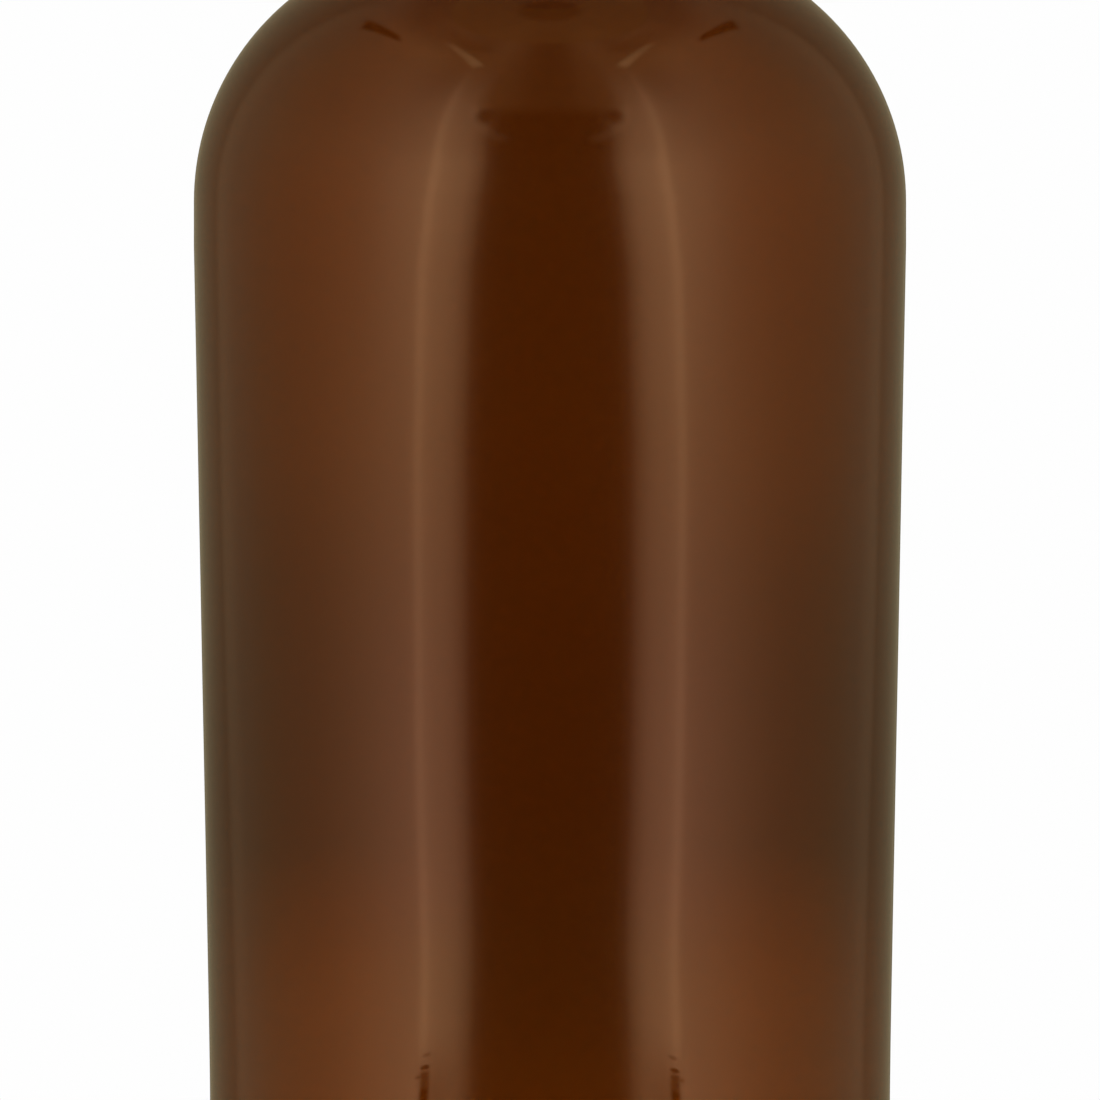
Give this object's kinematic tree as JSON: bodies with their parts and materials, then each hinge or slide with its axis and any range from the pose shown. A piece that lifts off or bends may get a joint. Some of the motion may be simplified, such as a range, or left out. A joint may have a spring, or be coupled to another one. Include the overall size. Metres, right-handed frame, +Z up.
{
  "type": "whisky bottle",
  "caption": "Full, shut whisky bottle of dark amber glass: round shoulders, gently tapered body, plain neck, and a cork with a turned wooden top.",
  "frame": {"origin": "centre of the base, on the surface that the bottle stands on", "axes": "+Z up along the bottle's own axis; the bottle is round, so X and Y are any two directions square to it"},
  "size_m": [0.085, 0.085, 0.2653],
  "materials": {
    "amber_glass": "polished dark amber bottle glass",
    "whisky": "clear golden brown liquid",
    "cork": "matte natural cork",
    "dark_wood": "satin dark stained wood"
  },
  "bodies": {
    "root": {"glass": "amber_glass", "whisky": "whisky", "cork": "cork", "stopper_top": "dark_wood"}
  },
  "joints": []
}
